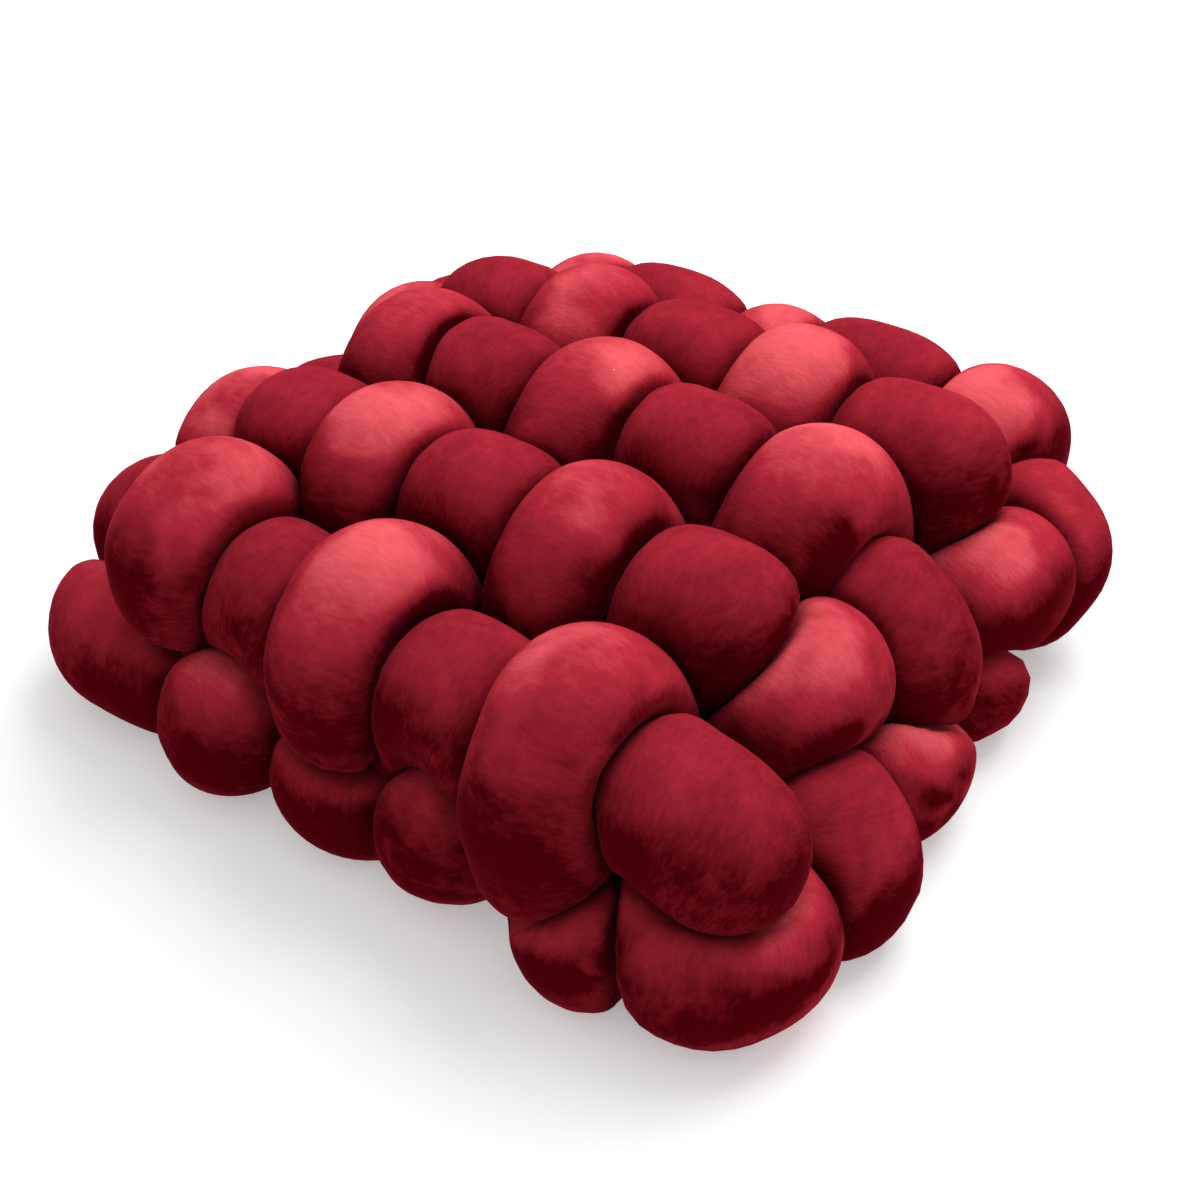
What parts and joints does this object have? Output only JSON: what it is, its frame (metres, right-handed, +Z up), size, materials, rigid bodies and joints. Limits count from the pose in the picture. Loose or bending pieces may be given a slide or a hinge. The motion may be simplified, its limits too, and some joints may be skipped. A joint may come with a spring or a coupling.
{
  "type": "woven floor cushion",
  "caption": "Square floor cushion plaited over and under from thick stuffed velvet tubes, with curled corners and a turned-down rim.",
  "frame": {"origin": "middle of the underside, on the surface the cushion lies on", "axes": "+X along the cross strands, +Y along the long strands, +Z up out of the top"},
  "size_m": [0.4921, 0.4663, 0.1765],
  "materials": {
    "velvet": "short-pile crimson velvet"
  },
  "bodies": {
    "root": {"long_strand_1": "velvet", "long_strand_2": "velvet", "long_strand_3": "velvet", "long_strand_4": "velvet", "long_strand_5": "velvet", "cross_strand_1": "velvet", "cross_strand_2": "velvet", "cross_strand_3": "velvet", "cross_strand_4": "velvet", "cross_strand_5": "velvet", "edge_tube_right": "velvet", "edge_tube_left": "velvet"}
  },
  "joints": []
}
